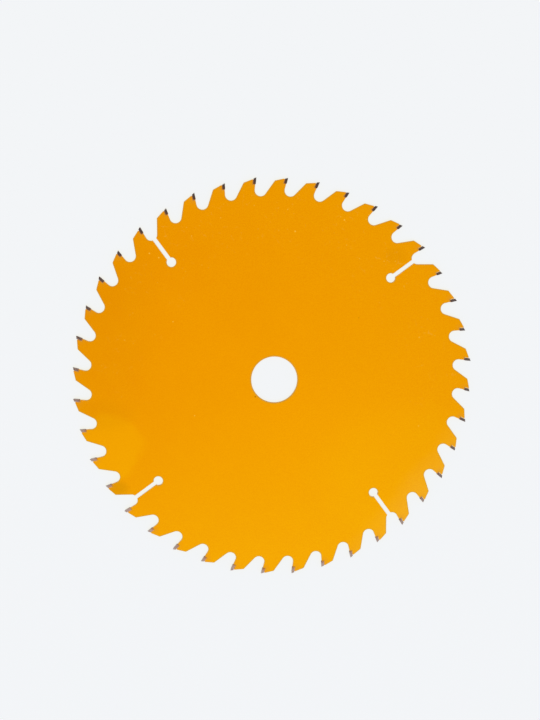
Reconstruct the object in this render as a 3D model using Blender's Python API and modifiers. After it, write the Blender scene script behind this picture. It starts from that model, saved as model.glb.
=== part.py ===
"""A 260 mm circular saw blade with brazed carbide teeth. Metres, +Z up.

The blade lies flat, with its arbor axis on Z and its mid-plane on Z = 0. Seen from +Z its
teeth point clockwise. A tooth is worked out in its own frame: the origin is the arbor
axis, x runs ahead, the way the tooth cuts, y runs outward through its cutting edge, and
z is the blade's axis. The gullet that a tooth's chips go into lies ahead of it.
"""

import math

import bmesh
import bpy
from mathutils import Matrix, Vector

# Blade
CUTTING_DIAMETER = 0.260
BORE_DIAMETER = 0.030
BORE_CHAMFER = 0.0003
PLATE_THICKNESS = 0.0018
TOOTH_COUNT = 40
FIRST_TOOTH_ANGLE = math.radians(43.1)  # of its cutting edge, from +X

# Tooth, as ground
HOOK_ANGLE = math.radians(10)  # of the rake face to the radius
TOP_CLEARANCE = math.radians(16)  # of the land to the tangent
TOP_BEVEL = math.radians(15)  # of the cutting edge to the axis, turned on every other tooth
RADIAL_CLEARANCE = math.radians(1.0)  # of a tip's side, going inward
TANGENTIAL_CLEARANCE = math.radians(2.5)  # of a tip's side, going back

# Carbide tip and its seat
KERF_WIDTH = 0.0025
TIP_THICKNESS = 0.0017
TIP_LENGTH = 0.0043
TIP_CORNER_RADIUS = 0.0004
TIP_STEP = 0.00035  # the rake face stands this far ahead of the gullet's wall
SHOULDER_DROP = 0.0002  # the steel's land lies this far under the tip's
BRAZE_GAP = 0.00025

# Gullet
GULLET_DEPTH = 0.012
GULLET_RADIUS = 0.00375
BACK_ANGLE = math.radians(49)  # of the next tooth's back to the tangent
HEEL_RADIUS = 0.0010

# Expansion slots
SLOT_COUNT = 4
SLOT_WIDTH = 0.0026
SLOT_LENGTH = 0.0214  # from the middle of the gullet's arc to that of the hole
SLOT_SLANT = math.radians(5)
SLOT_HOLE_DIAMETER = 0.006

# Facets
GULLET_SEGMENTS = 15
HEEL_SEGMENTS = 3
TIP_CORNER_SEGMENTS = 3
SLOT_HOLE_SEGMENTS = 32
BORE_SEGMENTS = 96

# A cutter reaches this far past what it cuts, and points this close are one.
OVERREACH = 0.001
WELD_DISTANCE = 0.000001

CUTTING_RADIUS = CUTTING_DIAMETER / 2
BORE_RADIUS = BORE_DIAMETER / 2
PITCH_ANGLE = 2 * math.pi / TOOTH_COUNT
LAND_DIRECTION = Vector((-math.cos(TOP_CLEARANCE), -math.sin(TOP_CLEARANCE)))
BACK_DIRECTION = Vector((math.cos(BACK_ANGLE), math.sin(BACK_ANGLE)))
RAKE_DIRECTION = Vector((-math.sin(HOOK_ANGLE), -math.cos(HOOK_ANGLE)))
RAKE_NORMAL = Vector((math.cos(HOOK_ANGLE), -math.sin(HOOK_ANGLE)))

LACQUER_ORANGE = (0.871, 0.332, 0.002, 1.0)
CARBIDE_GREY = (0.085, 0.075, 0.072, 1.0)


def clear_scene():
    for item in list(bpy.data.objects):
        bpy.data.objects.remove(item, do_unlink=True)


def new_collection(name):
    collection = bpy.data.collections.new(name)
    bpy.context.scene.collection.children.link(collection)
    return collection


def principled(name, colour, roughness, metallic):
    material = bpy.data.materials.new(name)
    material.use_nodes = True
    shader = material.node_tree.nodes["Principled BSDF"]
    shader.inputs["Base Color"].default_value = colour
    shader.inputs["Roughness"].default_value = roughness
    shader.inputs["Metallic"].default_value = metallic
    return material


def tooth_angle(index):
    """Teeth are numbered clockwise, each one ahead of the last."""
    return FIRST_TOOTH_ANGLE - index * PITCH_ANGLE


def tooth_frame(index):
    """From a tooth's own frame to the blade's."""
    return Matrix.Rotation(tooth_angle(index) - math.pi / 2, 4, "Z")


def tip_frame(index):
    """From a tip's frame, which starts at its cutting edge with y up the rake face."""
    on_edge = Matrix.Translation((0, CUTTING_RADIUS, 0))
    return tooth_frame(index) @ on_edge @ Matrix.Rotation(-HOOK_ANGLE, 4, "Z")


def turned(point, angle):
    return Matrix.Rotation(angle, 2) @ point


def crossing(point, direction, other_point, other_direction):
    """Where two lines meet in the plane."""
    reach = (other_point - point).cross(other_direction) / direction.cross(other_direction)
    return point + reach * direction


def arc(centre, radius, start, end, segments):
    """Points on an arc, from one angle to another."""
    angles = [start + (end - start) * step / segments for step in range(segments + 1)]
    return [centre + radius * Vector((math.cos(a), math.sin(a))) for a in angles]


def fillet(corner, before, after, radius, segments):
    """The arc that rounds a corner, given the directions that its two sides leave it in."""
    half = before.angle(after) / 2
    centre = corner + (before + after).normalized() * radius / math.sin(half)
    reach = radius / math.tan(half)
    start = corner + before * reach - centre
    turn = start.angle_signed(corner + after * reach - centre)
    first = math.atan2(start.y, start.x)
    return arc(centre, radius, first, first - turn, segments)


def gullet_centre():
    """The middle of the gullet's arc, which runs into its wall and is as deep as stated."""
    y = CUTTING_RADIUS - GULLET_DEPTH + GULLET_RADIUS
    x = GULLET_RADIUS - TIP_STEP - (CUTTING_RADIUS - y) * math.sin(HOOK_ANGLE)
    return Vector((x / math.cos(HOOK_ANGLE), y))


def gullet_arc():
    """From the tooth's wall round to the next tooth's back, a quarter turn behind each."""
    wall = math.pi - HOOK_ANGLE
    back = 1.5 * math.pi + BACK_ANGLE
    return arc(gullet_centre(), GULLET_RADIUS, wall, back, GULLET_SEGMENTS)


def land_start():
    """Where the steel's land would meet the radius through the cutting edge."""
    return Vector((0, CUTTING_RADIUS - SHOULDER_DROP))


def shoulder():
    """Where a tooth's wall would meet its land. The seat takes this corner away."""
    on_wall = Vector((0, CUTTING_RADIUS)) - TIP_STEP * RAKE_NORMAL
    return crossing(on_wall, RAKE_DIRECTION, land_start(), LAND_DIRECTION)


def heel(arc_end):
    """The rounded corner between the next tooth's back and its land."""
    land_point = turned(land_start(), -PITCH_ANGLE)
    land_direction = turned(LAND_DIRECTION, -PITCH_ANGLE)
    corner = crossing(arc_end, BACK_DIRECTION, land_point, land_direction)
    return fillet(corner, -BACK_DIRECTION, -land_direction, HEEL_RADIUS, HEEL_SEGMENTS)


def tooth_outline():
    """A tooth's shoulder and wall, its gullet, and the next tooth's back and heel."""
    gullet = gullet_arc()
    return [shoulder(), *gullet, *heel(gullet[-1])]


def plate_outline():
    pitch = tooth_outline()
    return [
        (tooth_frame(index) @ point.to_3d()).to_2d()
        for index in range(TOOTH_COUNT)
        for point in pitch
    ]


def keyhole_outline():
    """An expansion slot from the middle of its gullet's arc, round the hole at its end."""
    along = Vector((-math.sin(SLOT_SLANT), -math.cos(SLOT_SLANT)))
    across = Vector((along.y, -along.x)) * SLOT_WIDTH / 2
    mouth = gullet_centre()
    hole = mouth + along * SLOT_LENGTH
    half_gap = math.asin(SLOT_WIDTH / SLOT_HOLE_DIAMETER)
    outward = math.atan2(-along.y, -along.x)
    first = outward + half_gap
    last = outward + 2 * math.pi - half_gap
    end = arc(hole, SLOT_HOLE_DIAMETER / 2, first, last, SLOT_HOLE_SEGMENTS)
    return [mouth + across, *end, mouth - across]


def extruded(name, outlines, thickness, collection):
    """A mesh made from flat outlines, filled and given a thickness about Z = 0."""
    curve = bpy.data.curves.new(name, "CURVE")
    curve.dimensions = "2D"
    curve.fill_mode = "BOTH"
    curve.extrude = thickness / 2
    for outline in outlines:
        spline = curve.splines.new("POLY")
        spline.points.add(len(outline) - 1)
        for place, point in zip(spline.points, outline):
            place.co = (point.x, point.y, 0, 1)
        spline.use_cyclic_u = True
    drawn = bpy.data.objects.new(name + "_outline", curve)
    collection.objects.link(drawn)
    bpy.context.view_layer.update()
    graph = bpy.context.evaluated_depsgraph_get()
    mesh = bpy.data.meshes.new_from_object(drawn.evaluated_get(graph))
    mesh.name = name
    body = bmesh.new()
    body.from_mesh(mesh)
    bmesh.ops.remove_doubles(body, verts=body.verts, dist=WELD_DISTANCE)
    bmesh.ops.recalc_face_normals(body, faces=body.faces)
    body.to_mesh(mesh)
    body.free()
    made = bpy.data.objects.new(name, mesh)
    made.matrix_world = drawn.matrix_world
    collection.objects.link(made)
    bpy.data.objects.remove(drawn, do_unlink=True)
    return made


def hide_cutter(cutter):
    cutter.hide_render = True
    cutter.display_type = "WIRE"
    return cutter


def bore_cutter(collection):
    """The arbor bore with a chamfer at each face, as a turned profile."""
    face = PLATE_THICKNESS / 2
    top = face + OVERREACH
    wide = BORE_RADIUS + BORE_CHAMFER + OVERREACH
    half_profile = [(0, top), (wide, top), (BORE_RADIUS, face - BORE_CHAMFER)]
    profile = half_profile + [(x, -z) for x, z in reversed(half_profile)]
    mesh = bpy.data.meshes.new("bore_cutter")
    edges = [(i, i + 1) for i in range(len(profile) - 1)]
    mesh.from_pydata([(x, 0, z) for x, z in profile], edges, [])
    cutter = bpy.data.objects.new("bore_cutter", mesh)
    collection.objects.link(cutter)
    screw = cutter.modifiers.new("turn", "SCREW")
    screw.steps = BORE_SEGMENTS
    screw.render_steps = BORE_SEGMENTS
    screw.use_merge_vertices = True
    screw.merge_threshold = WELD_DISTANCE
    return hide_cutter(cutter)


def slot_cutter(collection):
    """The expansion slots, spread evenly over the gullets from the first tooth's."""
    keyhole = keyhole_outline()
    outlines = [
        [(tooth_frame(slot * TOOTH_COUNT // SLOT_COUNT) @ point.to_3d()).to_2d() for point in keyhole]
        for slot in range(SLOT_COUNT)
    ]
    thickness = PLATE_THICKNESS + 2 * OVERREACH
    return hide_cutter(extruded("slot_cutter", outlines, thickness, collection))


def insert_block(thickness, length, width, corner_radius):
    """An unground insert in its tip's frame: rake face on x = 0, rounded at its back foot."""
    block = bmesh.new()
    bmesh.ops.create_cube(block, size=1)
    height = length + OVERREACH
    bmesh.ops.scale(block, vec=(thickness, height, width), verts=block.verts)
    middle = Vector((-thickness / 2, OVERREACH - height / 2, 0))
    bmesh.ops.translate(block, vec=middle, verts=block.verts)
    foot = [
        edge
        for edge in block.edges
        if all(vert.co.x < middle.x and vert.co.y < middle.y for vert in edge.verts)
    ]
    bmesh.ops.bevel(
        block,
        geom=foot,
        offset=corner_radius,
        segments=TIP_CORNER_SEGMENTS,
        profile=0.5,
        affect="EDGES",
    )
    return block


def seat_cutter(collection):
    """Every tip's seat: the insert grown by the braze gap, and wider than the plate."""
    seat = insert_block(
        TIP_THICKNESS + BRAZE_GAP,
        TIP_LENGTH + BRAZE_GAP,
        PLATE_THICKNESS + 2 * OVERREACH,
        TIP_CORNER_RADIUS + BRAZE_GAP,
    )
    one_seat = bpy.data.meshes.new("one_seat")
    seat.to_mesh(one_seat)
    seat.free()
    seats = bmesh.new()
    for index in range(TOOTH_COUNT):
        before = len(seats.verts)
        seats.from_mesh(one_seat)
        seats.verts.ensure_lookup_table()
        bmesh.ops.transform(seats, matrix=tip_frame(index), verts=seats.verts[before:])
    mesh = bpy.data.meshes.new("seat_cutter")
    seats.to_mesh(mesh)
    seats.free()
    bpy.data.meshes.remove(one_seat)
    cutter = bpy.data.objects.new("seat_cutter", mesh)
    collection.objects.link(cutter)
    return hide_cutter(cutter)


def cut(piece, cutter):
    boolean = piece.modifiers.new(cutter.name, "BOOLEAN")
    boolean.operation = "DIFFERENCE"
    boolean.solver = "EXACT"
    boolean.object = cutter


def make_plate(collection, cutters, material, axis):
    """The one-piece steel body: teeth, gullets, seats, expansion slots and bore."""
    plate = extruded("blade_body", [plate_outline()], PLATE_THICKNESS, collection)
    cut(plate, bore_cutter(cutters))
    cut(plate, slot_cutter(cutters))
    cut(plate, seat_cutter(cutters))
    plate.data.materials.append(material)
    plate.parent = axis
    return plate


def grind(block, point, normal):
    """Takes off what lies beyond a plane, and closes the ground face."""
    everything = [*block.verts, *block.edges, *block.faces]
    ground = bmesh.ops.bisect_plane(
        block,
        geom=everything,
        dist=WELD_DISTANCE,
        plane_co=point,
        plane_no=normal,
        clear_outer=True,
    )
    rim = [item for item in ground["geom_cut"] if isinstance(item, bmesh.types.BMEdge)]
    bmesh.ops.contextual_create(block, geom=rim)


def tip_mesh(name, high_side, material):
    """A ground tip in its own frame. high_side is the side of its long corner, 1 or -1."""
    block = insert_block(TIP_THICKNESS, TIP_LENGTH, KERF_WIDTH, TIP_CORNER_RADIUS)
    long_corner = Vector((0, 0, high_side * KERF_WIDTH / 2))
    fall = TOP_CLEARANCE + HOOK_ANGLE
    back_along_land = Vector((-math.cos(fall), -math.sin(fall), 0))
    down_cutting_edge = Vector((0, -math.sin(TOP_BEVEL), -high_side * math.cos(TOP_BEVEL)))
    top_normal = down_cutting_edge.cross(back_along_land) * high_side
    grind(block, long_corner, top_normal)
    for side in (1, -1):
        widest = Vector((0, 0, side * KERF_WIDTH / 2))
        slope = (-math.tan(TANGENTIAL_CLEARANCE), -math.tan(RADIAL_CLEARANCE), side)
        grind(block, widest, Vector(slope))
    bmesh.ops.recalc_face_normals(block, faces=block.faces)
    mesh = bpy.data.meshes.new(name)
    block.to_mesh(mesh)
    block.free()
    mesh.materials.append(material)
    return mesh


def make_tips(collection, material, axis):
    """One tip on each tooth, beveled to one side and the other by turns."""
    meshes = [
        tip_mesh("tip_high_above", 1, material),
        tip_mesh("tip_high_below", -1, material),
    ]
    for index in range(TOOTH_COUNT):
        tip = bpy.data.objects.new(f"carbide_tip_{index + 1:02d}", meshes[index % 2])
        tip.matrix_world = tip_frame(index)
        tip.parent = axis
        collection.objects.link(tip)


def main():
    clear_scene()
    blade = new_collection("circular_saw_blade")
    cutters = new_collection("cutters")
    lacquer = principled("lacquered_steel", LACQUER_ORANGE, 0.38, 0.0)
    carbide = principled("tungsten_carbide", CARBIDE_GREY, 0.45, 0.85)
    axis = bpy.data.objects.new("arbor_axis", None)
    blade.objects.link(axis)
    make_plate(blade, cutters, lacquer, axis)
    make_tips(blade, carbide, axis)


main()
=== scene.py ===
import math

import bmesh
import bpy
from mathutils import Matrix, Vector
from mathutils.geometry import delaunay_2d_cdt


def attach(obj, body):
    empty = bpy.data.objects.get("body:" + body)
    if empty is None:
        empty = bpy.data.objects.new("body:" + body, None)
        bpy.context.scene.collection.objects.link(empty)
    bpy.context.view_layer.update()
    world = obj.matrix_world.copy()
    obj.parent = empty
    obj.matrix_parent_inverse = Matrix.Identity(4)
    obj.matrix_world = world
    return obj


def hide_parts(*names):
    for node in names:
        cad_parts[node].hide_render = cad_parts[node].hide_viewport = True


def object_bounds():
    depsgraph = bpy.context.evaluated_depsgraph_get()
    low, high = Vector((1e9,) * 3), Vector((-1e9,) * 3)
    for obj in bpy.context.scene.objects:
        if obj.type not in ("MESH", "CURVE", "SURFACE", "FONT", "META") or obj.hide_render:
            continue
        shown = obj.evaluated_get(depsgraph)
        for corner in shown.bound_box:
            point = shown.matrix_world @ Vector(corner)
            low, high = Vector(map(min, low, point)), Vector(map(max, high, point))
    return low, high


# A 260 mm circular saw blade lying on a pale floor. The dimensions repeat the CAD source's.
# Lengths are in metres in the row frame, and the shaders work in millimetres.

# Blade
CUTTING_RADIUS = 0.130
BORE_RADIUS = 0.015
BORE_CHAMFER = 0.0003
PLATE_THICKNESS = 0.0018
TOOTH_COUNT = 40
PITCH_ANGLE = 2 * math.pi / TOOTH_COUNT
FIRST_TOOTH_ANGLE = math.radians(43.1)

# Tooth
HOOK_ANGLE = math.radians(10)
TOP_CLEARANCE = math.radians(16)
TIP_THICKNESS = 0.0017
TIP_LENGTH = 0.0043
TIP_CORNER_RADIUS = 0.0004
TIP_STEP = 0.00035
SHOULDER_DROP = 0.0002
SHOULDER_RADIUS = 0.0004
BRAZE_GAP = 0.00025
GULLET_DEPTH = 0.012
GULLET_RADIUS = 0.00375
BACK_ANGLE = math.radians(49)
HEEL_RADIUS = 0.0010
LAND_DIRECTION = Vector((-math.cos(TOP_CLEARANCE), -math.sin(TOP_CLEARANCE)))
BACK_DIRECTION = Vector((math.cos(BACK_ANGLE), math.sin(BACK_ANGLE)))

# Expansion slots
SLOT_COUNT = 4
SLOT_WIDTH = 0.0026
SLOT_LENGTH = 0.0214
SLOT_SLANT = math.radians(5)
SLOT_HOLE_RADIUS = 0.003

# Rounded rims of the lacquered plate, and how far in from them the lacquer is thin
RIM_RADIUS = 0.00010
RIM_SEGMENTS = 4
RIM_FADE = 0.0009

# Fineness of the plate's outline and of the triangles on its faces
GULLET_SEGMENTS = 30
HEEL_SEGMENTS = 8
SEAT_SEGMENTS = 6
SLOT_HOLE_SEGMENTS = 56
BORE_SEGMENTS = 192
FACE_SPACING = 0.006
FACE_RING_STEP = 0.87
FACE_RING_TURN = 40

# Finish of the tips
TIP_FOOT_RADIUS = 0.0006
TIP_FOOT_SEGMENTS = 5
EDGE_BREAK = 0.00003
EDGE_BREAK_SEGMENTS = 2
TOUCHING = 0.000001

# Specks on the lacquer, in millimetres: x, y, radius and tone, where below 0 is darker
SPECKS = [
    (-12.0, -11.5, 0.50, -0.8),
    (53.5, 42.0, 0.45, -0.3),
    (-82.5, 78.5, 0.45, 0.9),
    (-76.5, 76.0, 0.45, 0.8),
    (-66.5, 35.5, 0.40, 0.7),
    (-51.0, -25.0, 0.40, 0.7),
    (10.0, 96.0, 0.50, 0.9),
    (41.5, 104.5, 0.50, 0.9),
    (94.0, 30.5, 0.45, 0.6),
    (96.5, -28.0, 0.45, 0.5),
]
SPECK_EDGE = 0.6
DARK_SPECK = (0.30, 0.07, 0.0)
LIGHT_SPECK = (1.0, 0.50, 0.05)

# Darker ovals on the lacquer: centre and half-widths in millimetres, softness, strength and
# colour. The first is painted shade along the top of the painted reflection by the lower left rim,
# the fourth is painted shade over the upper left, and the second and third are darker spots.
DARK_OVALS_AND_PAINTED_SHADE = [
    ((-112.0, -26.0), (20.0, 9.0), 0.9, 0.12, (0.60, 0.17, 0.0)),
    ((-100.0, -74.0), (7.0, 4.5), 0.9, 0.45, (0.60, 0.19, 0.0)),
    ((76.0, 83.0), (7.0, 5.0), 0.9, 0.15, (0.60, 0.19, 0.0)),
    ((-120.0, 46.0), (36.0, 76.0), 0.95, 0.12, (0.60, 0.17, 0.0)),
]

# The share of a pitch ahead of a cutting edge that is still shaded as part of that tooth
BODY_AHEAD = 0.25
TIP_AHEAD = 0.5

# Painted light and shade on the tips and the braze: lighter on the blade's right, darker and
# browner on its upper left, as the light falls on them.
PAINTED_LIGHT_SIDE = math.radians(-5)
PAINTED_SHADE_SIDE = math.radians(125)
PAINTED_SHADE_NEAR = 20.0
PAINTED_SHADE_FAR = 115.0

# Where the brazing heat has dulled the lacquer behind a tip, in the tooth's frame
HEAT_BEHIND = 2.6
HEAT_OUTWARD = 126.2
HEAT_NEAR = 0.8
HEAT_FAR = 4.2

# The background as the photograph has it, in linear light
BACKGROUND = (0.896, 0.913, 0.930, 1.0)

# What the floor gives up in full shadow, the light it gets in the open, and where its shadow ends
SHADOWED = (0.004, 0.050, 0.200)
FLOOR_LIGHT = 0.97
FLOOR_REACH = 6.0
SHADOW_NEAR = 0.3
SHADOW_FAR = 1.2

# The room's dimmer ceiling, and the heights between which the walls turn into it
CEILING = (0.50, 0.50, 0.50, 1.0)
CEILING_LOW = 0.30
CEILING_HIGH = 0.80

# The window: a soft lamp, whose level is its radiance, where 1 is white
WINDOW_PLACE = Vector((0.18, -3.55, 6.5))
WINDOW_AIM = Vector((0.0, 0.0, 0.0))
WINDOW_WIDTH = 6.4
WINDOW_HEIGHT = 4.6
WINDOW_LEVEL = 2.77

# Camera, fitted to the photograph
CAMERA_PLACE = Vector((-0.03904, 0.06017, 0.54916))
CAMERA_AIM = Vector((-0.003213, 0.012641, 0.0))
CAMERA_ROLL = math.radians(2.0246)
CAMERA_LENS = 42.5
CAMERA_SENSOR = 36.0


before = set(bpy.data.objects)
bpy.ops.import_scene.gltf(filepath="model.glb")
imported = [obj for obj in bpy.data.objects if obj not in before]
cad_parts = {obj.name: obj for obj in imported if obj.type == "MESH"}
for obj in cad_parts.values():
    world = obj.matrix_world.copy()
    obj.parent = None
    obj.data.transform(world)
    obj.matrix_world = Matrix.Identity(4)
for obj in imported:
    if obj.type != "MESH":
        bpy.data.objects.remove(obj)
cad_low, cad_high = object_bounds()


def tooth_frame(index):
    """From a tooth's own frame (x ahead, y outward) to the blade's."""
    return Matrix.Rotation(FIRST_TOOTH_ANGLE - index * PITCH_ANGLE - math.pi / 2, 4, "Z")


def tip_in_tooth():
    """From a tip's frame, with its edge at the origin and y up the rake face, to the tooth's."""
    return Matrix.Translation((0, CUTTING_RADIUS, 0)) @ Matrix.Rotation(-HOOK_ANGLE, 4, "Z")


def crossing(point, direction, other_point, other_direction):
    """Where two lines meet in the plane."""
    reach = (other_point - point).cross(other_direction) / direction.cross(other_direction)
    return point + reach * direction


def arc(centre, radius, start, end, segments):
    """Points from one angle to the other, both ends included."""
    angles = [start + (end - start) * step / segments for step in range(segments + 1)]
    return [centre + radius * Vector((math.cos(a), math.sin(a))) for a in angles]


def fillet(corner, before, after, radius, segments):
    """The arc that rounds a corner, given the directions that its two sides leave it in."""
    half = before.angle(after) / 2
    centre = corner + (before + after).normalized() * radius / math.sin(half)
    reach = radius / math.tan(half)
    start = corner + before * reach - centre
    turn = start.angle_signed(corner + after * reach - centre)
    first = math.atan2(start.y, start.x)
    return arc(centre, radius, first, first - turn, segments)


def gullet_centre():
    """Centre of the gullet's arc in the tooth's frame, from where the arc meets the wall."""
    y = CUTTING_RADIUS - GULLET_DEPTH + GULLET_RADIUS
    x = GULLET_RADIUS - TIP_STEP - (CUTTING_RADIUS - y) * math.sin(HOOK_ANGLE)
    return Vector((x / math.cos(HOOK_ANGLE), y))


def seat_outline():
    """A tip's seat in the tooth's frame: down its back, round its foot, out to the wall."""
    to_tooth = tip_in_tooth()
    back = -(TIP_THICKNESS + BRAZE_GAP)
    floor = -(TIP_LENGTH + BRAZE_GAP)
    radius = TIP_CORNER_RADIUS + BRAZE_GAP
    corner = Vector((back + radius, floor + radius))
    inner = arc(corner, radius, math.pi, 1.5 * math.pi, SEAT_SEGMENTS)
    inner.append(Vector((-TIP_STEP, floor)))
    points = [(to_tooth @ point.to_3d()).to_2d() for point in inner]
    land_start = Vector((0, CUTTING_RADIUS - SHOULDER_DROP))
    up_the_back = Vector((math.sin(HOOK_ANGLE), math.cos(HOOK_ANGLE)))
    corner = crossing(points[0], up_the_back, land_start, LAND_DIRECTION)
    shoulder = fillet(corner, LAND_DIRECTION, -up_the_back, SHOULDER_RADIUS, SEAT_SEGMENTS)
    return [*shoulder, *points]


def slot_outline():
    """Down one side of an expansion slot, round the hole at its end and back up."""
    along = Vector((-math.sin(SLOT_SLANT), -math.cos(SLOT_SLANT)))
    across = Vector((along.y, -along.x)) * SLOT_WIDTH / 2
    mouth = along * math.sqrt(GULLET_RADIUS**2 - (SLOT_WIDTH / 2) ** 2) + gullet_centre()
    hole = gullet_centre() + along * SLOT_LENGTH
    half_gap = math.asin(SLOT_WIDTH / 2 / SLOT_HOLE_RADIUS)
    outward = math.atan2(-along.y, -along.x)
    first = outward + half_gap
    last = outward + 2 * math.pi - half_gap
    end = arc(hole, SLOT_HOLE_RADIUS, first, last, SLOT_HOLE_SEGMENTS)
    return [mouth + across, *end, mouth - across]


def turns_round(centre, points):
    """The angle of each point about centre, from 0 to a full turn."""
    return [math.atan2(*reversed(point - centre)) % (2 * math.pi) for point in points]


def gullet_outline(slotted):
    """From the tooth's wall round to the next tooth's back, through a slot if there is one."""
    centre = gullet_centre()
    wall = math.pi - HOOK_ANGLE
    back = 1.5 * math.pi + BACK_ANGLE
    whole = arc(centre, GULLET_RADIUS, wall, back, GULLET_SEGMENTS)
    if not slotted:
        return whole
    slot = slot_outline()
    sides = turns_round(centre, (slot[0], slot[-1]))
    clear = math.radians(10)
    turns = turns_round(centre, whole)
    before = [point for point, turn in zip(whole, turns) if turn < min(sides) - clear]
    after = [point for point, turn in zip(whole, turns) if turn > max(sides) + clear]
    return [*before, *slot, *after]


def heel_outline(arc_end):
    """The rounded corner between the next tooth's back and its land."""
    to_next = Matrix.Rotation(-PITCH_ANGLE, 2)
    land_point = to_next @ Vector((0, CUTTING_RADIUS - SHOULDER_DROP))
    land_direction = to_next @ LAND_DIRECTION
    corner = crossing(arc_end, BACK_DIRECTION, land_point, land_direction)
    return fillet(corner, -BACK_DIRECTION, -land_direction, HEEL_RADIUS, HEEL_SEGMENTS)


def plate_outline():
    """The plate's rim, clockwise."""
    points = []
    for index in range(TOOTH_COUNT):
        slotted = index % (TOOTH_COUNT // SLOT_COUNT) == 0
        gullet = gullet_outline(slotted)
        pitch = [*seat_outline(), *gullet, *heel_outline(gullet[-1])]
        points += [(tooth_frame(index) @ point.to_3d()).to_2d() for point in pitch]
    return points


def bore_outline():
    """The bore's rim, anticlockwise, so that the steel is on the right as along the plate's."""
    return arc(Vector((0, 0)), BORE_RADIUS, 0, 2 * math.pi, BORE_SEGMENTS)[:-1]


def inset(outline, distance):
    """The outline moved into the steel, on its right, with mitred corners.
    Where it turns tightly round the steel it moves less, so that it never crosses itself."""
    longest_mitre = 5.0
    straight = 0.01
    margin = 0.9
    turns = []
    limits = []
    for before, point, after in zip([outline[-1], *outline], outline, [*outline[1:], outline[0]]):
        sides = [point - before, after - point]
        inward = [Vector((side.y, -side.x)).normalized() for side in sides]
        middle = (inward[0] + inward[1]).normalized()
        turns.append((point, middle, max(middle.dot(inward[0]), 1 / longest_mitre)))
        bend = inward[0].angle(inward[1])
        if sides[0].cross(sides[1]) < 0 and bend > straight:
            limits.append(margin * min(side.length for side in sides) / 2 / math.tan(bend / 2))
        else:
            limits.append(distance)
    moved = []
    for i, (point, middle, lean) in enumerate(turns):
        limit = min(limits[i - 1], limits[i], limits[(i + 1) % len(limits)])
        moved.append(point + middle * min(distance, limit) / lean)
    return moved


def rim_profile(chamfer):
    """(depth in from the edge, drop below the face, rim) from the wall up onto the face.
    rim is 1 at the edge and 0 where the lacquer is whole."""
    if chamfer:
        return [
            (0.0, chamfer, 1.0),
            (chamfer * 0.92, chamfer * 0.04, 1.0),
            (chamfer * 1.04, 0.0, 0.9),
            (chamfer * 1.10, 0.0, 0.85),
            (chamfer + RIM_FADE, 0.0, 0.0),
        ]
    turns = [math.pi / 2 * step / RIM_SEGMENTS for step in range(RIM_SEGMENTS + 1)]
    profile = [
        (RIM_RADIUS * (1 - math.cos(turn)), RIM_RADIUS * (1 - math.sin(turn)), 1.0)
        for turn in turns
    ]
    return [*profile, (RIM_RADIUS * 1.15, 0.0, 0.9), (RIM_FADE, 0.0, 0.0)]


def rim_loops(outline, chamfer):
    """(outline, height, rim) of each loop from the wall up onto the face."""
    face = PLATE_THICKNESS / 2
    return [(inset(outline, depth), face - drop, rim) for depth, drop, rim in rim_profile(chamfer)]


def face_fill(loops, spacing):
    """(points, triangles) that fill the flat face inside the last rim loops."""
    points = []
    edges = []
    for loop in loops:
        start = len(points)
        points += loop
        edges += [(start + i, start + (i + 1) % len(loop)) for i in range(len(loop))]
    radius = BORE_RADIUS + spacing
    limit = CUTTING_RADIUS - GULLET_DEPTH - spacing / 2
    while radius < limit:
        count = round(2 * math.pi * radius / spacing)
        start = radius * FACE_RING_TURN
        points += arc(Vector((0, 0)), radius, start, start + 2 * math.pi, count)[:-1]
        radius += spacing * FACE_RING_STEP
    verts, _, faces, origins, _, _ = delaunay_2d_cdt(points, edges, [], 1, 1e-7)
    near_bore = BORE_RADIUS + BORE_CHAMFER + RIM_FADE + spacing / 4
    kept = [face for face in faces if any(verts[i].length > near_bore for i in face)]
    used = sorted({i for face in kept for i in face})
    return verts, kept, used, origins


def to_object(body, name, sharp_angle):
    """The finished mesh as an object, smooth but for the edges that turn by more than an angle."""
    bmesh.ops.recalc_face_normals(body, faces=body.faces)
    for face in body.faces:
        face.smooth = True
    mesh = bpy.data.meshes.new(name)
    body.to_mesh(mesh)
    body.free()
    mesh.set_sharp_from_angle(angle=sharp_angle)
    made = bpy.data.objects.new(name, mesh)
    bpy.context.scene.collection.objects.link(made)
    return made


def build_plate():
    """The lacquered body: the CAD plate's outline with fine arcs and rounded rims."""
    body = bmesh.new()
    rim_value = body.verts.layers.float.new("rim")
    stacks = []
    for outline, chamfer in ((plate_outline(), 0), (bore_outline(), BORE_CHAMFER)):
        upper = rim_loops(outline, chamfer)
        loops = [(loop, -height, rim) for loop, height, rim in reversed(upper)] + upper
        rings = []
        for loop, height, rim in loops:
            ring = [body.verts.new((point.x, point.y, height)) for point in loop]
            for vert in ring:
                vert[rim_value] = rim
            rings.append(ring)
        for low, high in zip(rings, rings[1:]):
            for i in range(len(low)):
                j = (i + 1) % len(low)
                body.faces.new((low[j], low[i], high[i], high[j]))
        stacks.append((loops, rings))
    # The lower face is filled between the first loops, and the upper one between the last.
    for side in (0, -1):
        flat = [loops[side][0] for loops, _ in stacks]
        rim_verts = [vert for _, rings in stacks for vert in rings[side]]
        verts, faces, used, origins = face_fill(flat, FACE_SPACING)
        height = rim_verts[0].co.z
        made = {}
        for i in used:
            given = [o for o in origins[i] if o < len(rim_verts)]
            if given:
                made[i] = rim_verts[given[0]]
            else:
                made[i] = body.verts.new((verts[i].x, verts[i].y, height))
        for face in faces:
            corners = [made[i] for i in face]
            body.faces.new(corners if side else corners[::-1])
    # The bore's wall is bare: it has the second material.
    for face in body.faces:
        if face.calc_center_median().xy.length < BORE_RADIUS + BORE_CHAMFER / 10:
            face.material_index = 1
    return to_object(body, "blade_plate", math.radians(40))


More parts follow.
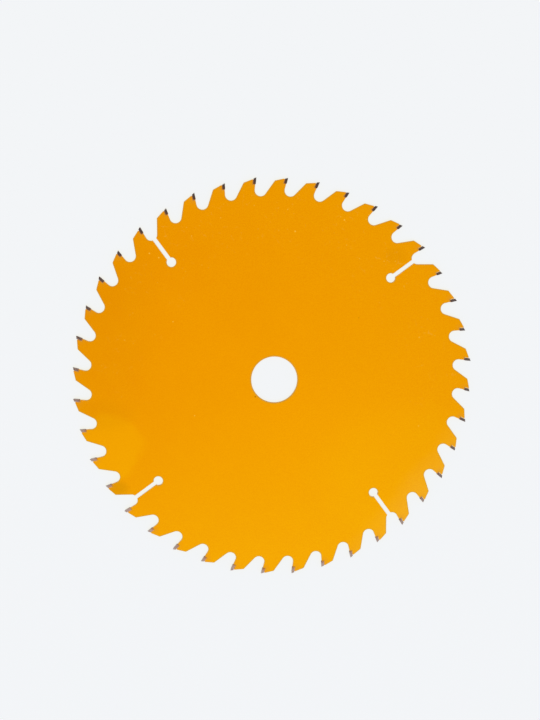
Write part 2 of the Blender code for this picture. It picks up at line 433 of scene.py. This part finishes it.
def braze_section():
    """(away from the tip, height) round a braze joint's section: a film that fills the gap,
    with a small fillet at each face."""
    face = PLATE_THICKNESS / 2
    half = [
        (-0.00003, face + 0.00021),
        (0.00004, face + 0.00020),
        (0.00010, face + 0.00012),
        (0.00020, face + 0.00006),
        (0.00033, face + 0.00002),
        (0.00046, face - 0.00001),
        (BRAZE_GAP + 0.00001, face - 0.00006),
    ]
    return half + [(away, -height) for away, height in reversed(half)]


def build_braze():
    """The silver braze round every tip's back and foot."""
    body = bmesh.new()
    section = braze_section()
    corner = Vector((-TIP_THICKNESS + TIP_CORNER_RADIUS, -TIP_LENGTH + TIP_CORNER_RADIUS))
    turns = [math.pi + math.pi / 2 * step / SEAT_SEGMENTS for step in range(SEAT_SEGMENTS + 1)]
    # Along the joint: a point on the tip, the way out of it, and the section's width and height
    stations = [
        (Vector((-TIP_THICKNESS, -0.00166)), math.pi, 0.3, 0.90),
        (Vector((-TIP_THICKNESS, -0.00176)), math.pi, 0.7, 0.95),
        (Vector((-TIP_THICKNESS, -0.00195)), math.pi, 1.0, 1.0),
    ]
    stations += [
        (corner + TIP_CORNER_RADIUS * Vector((math.cos(turn), math.sin(turn))), turn, 1.0, 1.0)
        for turn in turns
    ]
    stations.append((Vector((-TIP_STEP - 0.00016, -TIP_LENGTH)), 1.5 * math.pi, 1.0, 1.0))
    stations.append((Vector((-TIP_STEP - 0.00003, -TIP_LENGTH)), 1.5 * math.pi, 0.9, 0.93))
    for index in range(TOOTH_COUNT):
        to_blade = tooth_frame(index) @ tip_in_tooth()
        rings = []
        for point, turn, width, rise in stations:
            outward = Vector((math.cos(turn), math.sin(turn)))
            ring = []
            for away, height in section:
                place = point + outward * away * width
                ring.append(body.verts.new(to_blade @ Vector((*place, height * rise))))
            rings.append(ring)
        for near, far in zip(rings, rings[1:]):
            for i in range(len(section)):
                j = (i + 1) % len(section)
                body.faces.new((near[i], near[j], far[j], far[i]))
        body.faces.new(rings[0])
        body.faces.new(rings[-1][::-1])
    return to_object(body, "braze_joints", math.radians(45))


class Shading:
    """Builds one material's nodes. A value is a number, a colour or another node's socket."""

    def __init__(self, name):
        self.material = bpy.data.materials.new(name)
        self.material.use_nodes = True
        self.tree = self.material.node_tree
        self.shader = self.tree.nodes["Principled BSDF"]

    def node(self, kind, **settings):
        made = self.tree.nodes.new(kind)
        for name, value in settings.items():
            setattr(made, name, value)
        return made

    def feed(self, socket, value):
        if isinstance(value, bpy.types.NodeSocket):
            self.tree.links.new(value, socket)
        else:
            socket.default_value = value

    def math(self, operation, *values, clamp=False):
        node = self.node("ShaderNodeMath", operation=operation, use_clamp=clamp)
        for socket, value in zip(node.inputs, values):
            self.feed(socket, value)
        return node.outputs[0]

    def plus(self, first, second):
        return self.math("ADD", first, second)

    def less(self, first, second):
        return self.math("SUBTRACT", first, second)

    def times(self, first, second):
        return self.math("MULTIPLY", first, second)

    def squares(self, x, y):
        """x squared plus y squared."""
        return self.plus(self.times(x, x), self.times(y, y))

    def combine(self, x, y, z):
        node = self.node("ShaderNodeCombineXYZ")
        for socket, value in zip(node.inputs, (x, y, z)):
            self.feed(socket, value)
        return node.outputs[0]

    def step(self, value, low, high, to_low=0.0, to_high=1.0):
        """A smooth step from to_low at low to to_high at high."""
        node = self.node("ShaderNodeMapRange", interpolation_type="SMOOTHSTEP")
        for socket, given in zip(node.inputs, (value, low, high, to_low, to_high)):
            self.feed(socket, given)
        return node.outputs[0]

    def noise(self, vector, scale, detail=3.0, roughness=0.55):
        """Noise from 0 to 1, with scale swells to a millimetre."""
        node = self.node("ShaderNodeTexNoise")
        self.feed(node.inputs["Vector"], vector)
        node.inputs["Scale"].default_value = scale
        node.inputs["Detail"].default_value = detail
        node.inputs["Roughness"].default_value = roughness
        return node.outputs["Fac"]

    def wander(self, vector, scale, reach, detail=3.0):
        """A length that drifts by half of reach to either side of 0."""
        return self.times(self.less(self.noise(vector, scale, detail=detail), 0.5), reach)

    def cells(self, vector, scale, feature="F1", dimensions="3D"):
        """The distance to the nearest of scattered points, or to the edge between two."""
        node = self.node("ShaderNodeTexVoronoi", feature=feature, voronoi_dimensions=dimensions)
        self.feed(node.inputs["Vector"], vector)
        node.inputs["Scale"].default_value = scale
        return node.outputs["Distance"]

    def chance(self, value):
        """A number from 0 to 1 for each whole value."""
        node = self.node("ShaderNodeTexWhiteNoise", noise_dimensions="1D")
        self.feed(node.inputs["W"], value)
        return node.outputs["Value"]

    def mix(self, factor, first, second):
        node = self.node("ShaderNodeMix", data_type="RGBA")
        self.feed(node.inputs[0], factor)
        self.feed(node.inputs[6], first)
        self.feed(node.inputs[7], second)
        return node.outputs[2]

    def between(self, factor, first, second):
        """From one plain colour to another."""
        return self.mix(factor, (*first, 1.0), (*second, 1.0))

    def lay(self, colour, mask, strength, tint):
        """The colour with tint laid over it, by strength where mask is 1."""
        return self.mix(self.times(mask, strength), colour, (*tint, 1.0))

    def bump(self, height, distance, strength=1.0, under=None):
        """The normal over a relief, whose distance is in metres."""
        node = self.node("ShaderNodeBump")
        self.feed(node.inputs["Height"], height)
        node.inputs["Distance"].default_value = distance
        node.inputs["Strength"].default_value = strength
        if under is not None:
            self.feed(node.inputs["Normal"], under)
        return node.outputs["Normal"]

    def place(self):
        """(vector, x, y, z) of the point on the object, in millimetres."""
        node = self.node("ShaderNodeTexCoord")
        scaled = self.node("ShaderNodeVectorMath", operation="SCALE")
        self.feed(scaled.inputs[0], node.outputs["Object"])
        scaled.inputs["Scale"].default_value = 1000.0
        split = self.node("ShaderNodeSeparateXYZ")
        self.feed(split.inputs[0], scaled.outputs[0])
        return (scaled.outputs[0], *split.outputs)

    def toward(self, x, y, angle, near, far):
        """A smooth step from near to far along one direction in the plane, in millimetres."""
        along = self.plus(self.times(x, math.cos(angle)), self.times(y, math.sin(angle)))
        return self.step(along, near, far)

    def spot(self, x, y, centre, reach, edge):
        """1 inside an oval round centre, in millimetres, and 0 outside it."""
        along = self.math("DIVIDE", self.less(x, centre[0]), reach[0])
        across = self.math("DIVIDE", self.less(y, centre[1]), reach[1])
        return self.step(self.squares(along, across), 1.0 + edge, 1.0 - edge)

    def round_axis(self, x, y):
        """(radius, angle) about the arbor axis."""
        return self.math("SQRT", self.squares(x, y)), self.math("ARCTAN2", y, x)

    def in_tooth(self, radius, angle, ahead):
        """(x ahead, y outward, tooth number) in the nearest tooth's frame.
        ahead is the share of a pitch before the cutting edge that still counts as its."""
        turns = self.math("DIVIDE", self.less(FIRST_TOOTH_ANGLE, angle), PITCH_ANGLE)
        index = self.math("FLOOR", self.plus(turns, 1.0 - ahead))
        away = self.times(self.less(turns, index), PITCH_ANGLE)
        x = self.times(radius, self.math("SINE", away))
        y = self.times(radius, self.math("COSINE", away))
        return x, y, index

    def finish(self, colour, gloss, normal, metallic):
        """Feeds the shader and gives the material."""
        self.feed(self.shader.inputs["Base Color"], colour)
        self.feed(self.shader.inputs["Roughness"], gloss)
        self.feed(self.shader.inputs["Normal"], normal)
        self.shader.inputs["Metallic"].default_value = metallic
        return self.material


def lacquer_orange_and_painted_light(s, vector, x, y, radius, cloud, grain):
    """The orange, which changes slowly over the blade and a little from grain to grain and is
    darker towards the rim, with painted light laid in: lighter towards the right and towards the
    top and bottom.
    """
    broad = s.noise(vector, 0.018, detail=3.0)
    tone = s.plus(s.times(broad, 0.5), s.times(cloud, 0.3))
    tone = s.step(s.plus(tone, s.times(grain, 0.2)), 0.34, 0.66)
    # Painted light: the orange grows lighter from the blade's left to its right.
    side = s.step(x, -150.0, 150.0)
    colour = s.between(side, (0.885, 0.264, 0.0), (0.922, 0.338, 0.0))
    colour = s.lay(colour, tone, 0.5, (0.950, 0.328, 0.0))
    outer = s.math("DIVIDE", s.plus(radius, s.times(cloud, 30.0)), 145.0)
    outer = s.math("MULTIPLY", outer, outer, clamp=True)
    colour = s.lay(colour, outer, 0.17, (0.70, 0.245, 0.0))
    # Painted light: the orange grows lighter and yellower towards the top and the bottom.
    ends = s.math("DIVIDE", y, 130.0)
    ends = s.math("MULTIPLY", ends, ends, clamp=True)
    colour = s.lay(colour, ends, 0.30, (0.94, 0.40, 0.0))
    return s.lay(colour, s.step(grain, 0.35, 0.65), 0.28, (0.78, 0.172, 0.0))


def lacquer_marks(s, colour, vector, x, y, radius):
    """Small marks: dust, flecks, hair marks and specks."""
    # Dust under the lacquer
    dust = s.cells(vector, 0.22)
    dusty = s.times(s.step(dust, 0.075, 0.04), s.step(s.noise(vector, 0.05), 0.54, 0.6))
    colour = s.lay(colour, dusty, 0.35, (0.55, 0.15, 0.0))

    # Light flecks and hair marks, mostly in the upper half near the rim
    scuffed = s.times(s.step(radius, 65.0, 105.0), s.step(y, -60.0, 50.0))
    worn = s.times(scuffed, s.step(s.noise(vector, 0.07, detail=3.0), 0.45, 0.62))
    fleck = s.step(s.cells(vector, 0.085, dimensions="2D"), 0.045, 0.020)
    colour = s.lay(colour, s.times(fleck, worn), 0.45, (1.0, 0.52, 0.06))
    sway = s.times(s.noise(vector, 0.22, detail=2.0), 9.0)
    bent = s.combine(s.plus(x, sway), s.less(y, sway), 0.0)
    hair = s.step(s.cells(bent, 0.15, "DISTANCE_TO_EDGE", "2D"), 0.060, 0.0)
    hair = s.times(hair, s.step(s.noise(vector, 0.30, detail=2.0), 0.50, 0.62))
    colour = s.lay(colour, s.times(hair, worn), 0.13, (1.0, 0.60, 0.12))

    # Specks of dust and pigment
    for speck_x, speck_y, size, tone in SPECKS:
        speck = s.spot(x, y, (speck_x, speck_y), (size, size), SPECK_EDGE)
        colour = s.lay(colour, speck, abs(tone), DARK_SPECK if tone < 0 else LIGHT_SPECK)
    return colour


def lacquer_painted_light_and_stains(s, colour, vector, x, y):
    """A painted reflection by the lower left rim, a pale area of painted light and a thin painted
    sheen across from it, and the darker ovals, two of them painted shade.
    """
    wander = s.wander(vector, 0.06, 12.0, detail=2.0)
    # Painted reflection: a lighter patch by the lower left rim.
    painted_reflection = s.spot(s.plus(x, wander), s.less(y, wander), (-106.0, -48.0), (22.0, 22.5), 0.3)
    colour = s.lay(colour, painted_reflection, 0.38, (0.93, 0.372, 0.0))
    # Painted light: a paler area on the lower right.
    pale = s.spot(x, y, (90.0, -62.0), (58.0, 46.0), 0.6)
    colour = s.lay(colour, pale, 0.085, (1.0, 0.52, 0.0))
    # Painted sheen: a thin yellowish haze along the lower right rim.
    aslant = s.less(s.times(x, 0.8), s.times(y, 0.6))
    painted_sheen = s.step(s.plus(aslant, wander), 105.0, 129.0)
    colour = s.lay(colour, painted_sheen, 0.045, (0.95, 0.95, 0.30))
    # Darker ovals, of which the first and the fourth are painted shade.
    for centre, reach, edge, strength, tint in DARK_OVALS_AND_PAINTED_SHADE:
        colour = s.lay(colour, s.spot(x, y, centre, reach, edge), strength, tint)
    return colour


def brazing_heat(s, vector, radius, angle):
    """1 where the brazing heat has dulled the lacquer behind a tip, on some teeth less."""
    ahead, outward, index = s.in_tooth(radius, angle, BODY_AHEAD)
    away = s.math("SQRT", s.squares(s.plus(ahead, HEAT_BEHIND), s.less(outward, HEAT_OUTWARD)))
    away = s.plus(away, s.wander(vector, 0.55, 2.2))
    heat = s.step(away, HEAT_FAR, HEAT_NEAR)
    return s.times(heat, s.plus(0.2, s.times(s.chance(index), 0.8)))


def lacquer_rims(s, colour, vector, z):
    """(colour, chip) at the rims, where the lacquer is thin and here and there the steel shows,
    with a painted highlight along the rounded edge."""
    rim = s.node("ShaderNodeAttribute", attribute_name="rim").outputs["Fac"]
    height = s.math("ABSOLUTE", z)
    thin = s.math("POWER", rim, 1.2)
    level = s.step(height, 0.78, 0.88, 0.25, 0.95)
    colour = s.mix(s.times(thin, level), colour, (0.52, 0.255, 0.032, 1.0))
    # Painted highlight: a pale line along the rounded edge, where it turns down.
    painted_edge_highlight = s.times(s.step(rim, 0.86, 0.96), s.step(height, 0.80, 0.86))
    colour = s.lay(colour, painted_edge_highlight, 0.60, (1.0, 0.66, 0.22))
    chip_noise = s.noise(vector, 0.9, detail=4.0, roughness=0.7)
    chip = s.times(s.step(chip_noise, 0.63, 0.67), s.step(rim, 0.80, 0.97))
    return s.lay(colour, chip, 0.75, (0.33, 0.26, 0.22)), chip


def lacquer_material():
    """Orange lacquer over ground steel: thin at the rims, warmed brown behind the tips, with
    painted light, painted shade, painted reflections and a painted edge highlight laid into its
    colour.
    """
    s = Shading("orange_lacquer")
    vector, x, y, z = s.place()
    radius, angle = s.round_axis(x, y)
    cloud = s.noise(vector, 0.09, detail=4.0, roughness=0.6)
    grain = s.noise(vector, 1.3, detail=2.0)
    colour = lacquer_orange_and_painted_light(s, vector, x, y, radius, cloud, grain)

    # Marks of the grinding show through, as faint rings that come and go.
    ring_place = s.combine(s.times(radius, 1.6), s.times(angle, 3.0), 0.0)
    rings = s.noise(ring_place, 1.0, detail=4.0, roughness=0.7)
    ringed = s.times(s.step(rings, 0.5, 0.72), s.step(cloud, 0.4, 0.65))
    colour = s.lay(colour, ringed, 0.10, (0.68, 0.20, 0.0))

    colour = lacquer_marks(s, colour, vector, x, y, radius)
    colour = lacquer_painted_light_and_stains(s, colour, vector, x, y)
    heat = brazing_heat(s, vector, radius, angle)
    colour = s.lay(colour, heat, 0.27, (0.70, 0.245, 0.025))
    colour, chip = lacquer_rims(s, colour, vector, z)

    # Smudges change the gloss only.
    smudge = s.noise(vector, 0.035, detail=4.0, roughness=0.65)
    gloss = s.plus(0.30, s.times(smudge, 0.14))
    gloss = s.plus(gloss, s.times(heat, 0.12))
    gloss = s.plus(gloss, s.times(grain, 0.05))

    peel = s.bump(s.noise(vector, 0.85, detail=2.0), 0.00002, 0.55)
    peel = s.bump(rings, 0.000006, 0.5, under=peel)
    peel = s.bump(chip, -0.00003, 0.8, under=peel)
    s.shader.inputs["Specular IOR Level"].default_value = 0.70
    s.shader.inputs["Specular Tint"].default_value = (0.9, 1.0, 0.0, 1)
    return s.finish(colour, gloss, peel, metallic=0.0)


def carbide_material():
    """Ground tungsten carbide, with its grinding lines, a brown bloom from the brazing, and
    painted light on the blade's right and painted shade on its upper left.
    """
    s = Shading("ground_carbide")
    vector, x, y, z = s.place()
    radius, angle = s.round_axis(x, y)
    ahead, outward, index = s.in_tooth(radius, angle, TIP_AHEAD)

    lines_place = s.combine(s.times(ahead, 1.2), s.times(outward, 14.0), s.plus(z, index))
    lines = s.noise(lines_place, 1.0, detail=3.0, roughness=0.65)
    cloud = s.noise(vector, 0.7, detail=3.0)
    tone = s.step(s.plus(s.times(lines, 0.45), s.times(cloud, 0.55)), 0.3, 0.7)
    colour = s.between(tone, (0.122, 0.084, 0.071), (0.188, 0.137, 0.118))
    fumed = s.chance(s.plus(index, 60.0))
    colour = s.lay(colour, fumed, 0.30, (0.085, 0.060, 0.052))
    # Painted light: the tips grow lighter and greyer towards the blade's right.
    painted_lit = s.toward(x, y, PAINTED_LIGHT_SIDE, 70.0, 120.0)
    colour = s.lay(colour, painted_lit, 0.5, (0.245, 0.192, 0.178))
    # Painted shade: the tips grow darker and browner towards the blade's upper left.
    painted_shaded = s.toward(x, y, PAINTED_SHADE_SIDE, PAINTED_SHADE_NEAR, PAINTED_SHADE_FAR)
    colour = s.lay(colour, painted_shaded, 0.45, (0.140, 0.072, 0.055))

    foot = s.step(s.plus(outward, s.times(cloud, 1.6)), 128.6, 126.4)
    bloom = s.times(foot, s.plus(0.45, s.times(s.chance(index), 0.55)))
    colour = s.mix(bloom, colour, (0.180, 0.078, 0.030, 1.0))

    gloss = s.plus(0.13, s.times(lines, 0.12))
    gloss = s.plus(gloss, s.times(bloom, 0.12))
    return s.finish(colour, gloss, s.bump(lines, 0.000012, 0.6), metallic=0.9)


def braze_material():
    """Silver braze, dulled and browned by its flux and the lacquer's overspray, with painted light
    on the blade's right and painted shade on its upper left.
    """
    s = Shading("silver_braze")
    vector, x, y, _ = s.place()
    _, outward, _ = s.in_tooth(*s.round_axis(x, y), BODY_AHEAD)
    cloud = s.noise(vector, 0.9, detail=4.0, roughness=0.65)
    fine = s.noise(vector, 5.0, detail=3.0)
    colour = s.between(s.step(cloud, 0.35, 0.65), (0.70, 0.25, 0.012), (0.82, 0.36, 0.045))
    colour = s.lay(colour, s.step(fine, 0.52, 0.7), 0.20, (0.66, 0.55, 0.38))
    # Painted light: the braze grows paler towards the blade's right.
    painted_lit = s.toward(x, y, PAINTED_LIGHT_SIDE, 50.0, 120.0)
    colour = s.lay(colour, painted_lit, 0.7, (1.0, 0.74, 0.34))
    # Painted shade: the braze grows darker and browner towards the blade's upper left.
    painted_shaded = s.toward(x, y, PAINTED_SHADE_SIDE, PAINTED_SHADE_NEAR, PAINTED_SHADE_FAR)
    colour = s.lay(colour, painted_shaded, 0.6, (0.34, 0.10, 0.006))
    foot = s.step(outward, 126.6, 126.0)
    colour = s.lay(colour, foot, 0.85, (0.50, 0.17, 0.004))
    gloss = s.plus(0.38, s.times(cloud, 0.25))
    return s.finish(colour, gloss, s.bump(fine, 0.00003, 0.6), metallic=0.15)


def bore_material():
    """The bore's wall, honed after the lacquering: bare steel with fine lines round it."""
    s = Shading("bare_steel")
    vector, x, y, z = s.place()
    radius, angle = s.round_axis(x, y)
    lines_place = s.combine(s.times(angle, 1.5), s.times(z, 9.0), radius)
    lines = s.noise(lines_place, 1.0, detail=4.0, roughness=0.7)
    cloud = s.noise(vector, 0.35, detail=3.0)
    colour = s.between(s.step(lines, 0.3, 0.7), (0.40, 0.37, 0.34), (0.56, 0.54, 0.51))
    colour = s.lay(colour, s.step(cloud, 0.5, 0.7), 0.35, (0.30, 0.20, 0.12))
    gloss = s.plus(0.22, s.times(lines, 0.2))
    return s.finish(colour, gloss, s.bump(lines, 0.00001, 0.6), metallic=1.0)


def dress_tips(material):
    """The CAD tips stay, with their front foot rounded and their ground edges just broken."""
    for name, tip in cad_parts.items():
        if not name.startswith("carbide_tip_"):
            continue
        for slot in tip.material_slots:
            slot.material = material
        foot = tip.vertex_groups.new(name="foot")
        index = int(name[-2:]) - 1
        to_tip = (tooth_frame(index) @ tip_in_tooth()).inverted() @ tip.matrix_world
        near = TIP_CORNER_RADIUS / 4
        for vert in tip.data.vertices:
            place = to_tip @ vert.co
            if abs(place.x) < near and abs(place.y + TIP_LENGTH) < near:
                foot.add([vert.index], 1.0, "REPLACE")
        joined = tip.modifiers.new("joined_faces", "WELD")
        joined.merge_threshold = TOUCHING
        flat = tip.modifiers.new("flat_faces", "DECIMATE")
        flat.decimate_type = "DISSOLVE"
        flat.angle_limit = math.radians(0.3)
        rounded = tip.modifiers.new("rounded_foot", "BEVEL")
        rounded.width = TIP_FOOT_RADIUS
        rounded.segments = TIP_FOOT_SEGMENTS
        rounded.limit_method = "VGROUP"
        rounded.vertex_group = "foot"
        bevel = tip.modifiers.new("edge_break", "BEVEL")
        bevel.width = EDGE_BREAK
        bevel.segments = EDGE_BREAK_SEGMENTS
        bevel.limit_method = "ANGLE"
        bevel.angle_limit = math.radians(25)
        even = tip.modifiers.new("flat_shading", "WEIGHTED_NORMAL")
        even.mode = "FACE_AREA"
        even.weight = 100


def make_floor():
    """A pale floor that shows as the background does, with a soft, warm share of the shadow."""
    mesh = bpy.data.meshes.new("floor")
    signs = [(-1, -1), (1, -1), (1, 1), (-1, 1)]
    corners = [(x * FLOOR_REACH, y * FLOOR_REACH, cad_low.z) for x, y in signs]
    mesh.from_pydata(corners, [], [(0, 1, 2, 3)])
    floor = bpy.data.objects.new("floor", mesh)
    bpy.context.scene.collection.objects.link(floor)
    s = Shading("pale_floor")
    s.shader.inputs["Base Color"].default_value = BACKGROUND
    s.shader.inputs["Roughness"].default_value = 0.9
    s.shader.inputs["Specular IOR Level"].default_value = 0.0
    place = s.node("ShaderNodeTexCoord")
    away = s.node("ShaderNodeVectorMath", operation="LENGTH")
    s.feed(away.inputs[0], place.outputs["Object"])
    far = s.step(away.outputs["Value"], SHADOW_NEAR, SHADOW_FAR)
    near_glow = [whole - part * FLOOR_LIGHT for whole, part in zip(BACKGROUND, SHADOWED)]
    shaded = s.node("ShaderNodeBsdfDiffuse")
    s.feed(shaded.inputs["Color"], s.between(far, SHADOWED, (0.0, 0.0, 0.0)))
    glow = s.node("ShaderNodeEmission")
    s.feed(glow.inputs["Color"], s.mix(far, (*near_glow, 1.0), BACKGROUND))
    face = s.node("ShaderNodeAddShader")
    s.feed(face.inputs[0], shaded.outputs[0])
    s.feed(face.inputs[1], glow.outputs[0])
    seen = s.node("ShaderNodeLightPath")
    shown = s.math("ADD", seen.outputs["Is Camera Ray"], seen.outputs["Is Glossy Ray"])
    shown = s.math("ADD", shown, seen.outputs["Is Transmission Ray"], clamp=True)
    blend = s.node("ShaderNodeMixShader")
    s.feed(blend.inputs[0], shown)
    s.feed(blend.inputs[1], s.shader.outputs[0])
    s.feed(blend.inputs[2], face.outputs[0])
    s.feed(s.tree.nodes["Material Output"].inputs["Surface"], blend.outputs[0])
    mesh.materials.append(s.material)


def light_world():
    """A room with pale walls and a dimmer ceiling."""
    world = bpy.data.worlds.new("studio")
    bpy.context.scene.world = world
    world.use_nodes = True
    tree = world.node_tree
    place = tree.nodes.new("ShaderNodeTexCoord")
    split = tree.nodes.new("ShaderNodeSeparateXYZ")
    height = tree.nodes.new("ShaderNodeMapRange")
    height.interpolation_type = "SMOOTHSTEP"
    height.inputs["From Min"].default_value = CEILING_LOW
    height.inputs["From Max"].default_value = CEILING_HIGH
    colour = tree.nodes.new("ShaderNodeMix")
    colour.data_type = "RGBA"
    colour.inputs[6].default_value = BACKGROUND
    colour.inputs[7].default_value = CEILING
    tree.links.new(place.outputs["Generated"], split.inputs[0])
    tree.links.new(split.outputs["Z"], height.inputs["Value"])
    tree.links.new(height.outputs[0], colour.inputs[0])
    tree.links.new(colour.outputs[2], tree.nodes["Background"].inputs["Color"])


def add_window():
    """The soft lamp. The camera doesn't see it."""
    lamp = bpy.data.lights.new("window", "AREA")
    lamp.shape = "RECTANGLE"
    lamp.size = WINDOW_WIDTH
    lamp.size_y = WINDOW_HEIGHT
    lamp.energy = WINDOW_LEVEL * math.pi * WINDOW_WIDTH * WINDOW_HEIGHT
    made = bpy.data.objects.new("window", lamp)
    made.location = WINDOW_PLACE
    made.rotation_mode = "QUATERNION"
    made.rotation_quaternion = (WINDOW_AIM - WINDOW_PLACE).to_track_quat("-Z", "Y")
    made.visible_camera = False
    bpy.context.scene.collection.objects.link(made)


def add_camera():
    """The camera, which looks down at the lying blade as the photograph does."""
    camera = bpy.data.objects.new("camera", bpy.data.cameras.new("camera"))
    bpy.context.scene.collection.objects.link(camera)
    ahead = (CAMERA_AIM - CAMERA_PLACE).normalized()
    right = ahead.cross(Vector((0, 1, 0))).normalized()
    up = right.cross(ahead)
    roll = Matrix.Rotation(CAMERA_ROLL, 3, ahead)
    right = roll.inverted() @ right
    up = roll.inverted() @ up
    turned = Matrix((right, up, -ahead)).transposed()
    camera.matrix_world = Matrix.Translation(CAMERA_PLACE) @ turned.to_4x4()
    camera.data.lens = CAMERA_LENS
    camera.data.sensor_width = CAMERA_SENSOR
    camera.data.clip_start = 0.01
    camera.data.clip_end = 50.0
    bpy.context.scene.camera = camera


def main():
    bpy.context.scene.view_settings.view_transform = "Standard"
    plate = build_plate()
    plate.data.materials.append(lacquer_material())
    plate.data.materials.append(bore_material())
    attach(plate, "root")
    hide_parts("blade_body")
    braze = build_braze()
    braze.data.materials.append(braze_material())
    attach(braze, "root")
    dress_tips(carbide_material())
    make_floor()
    light_world()
    add_window()
    add_camera()


main()
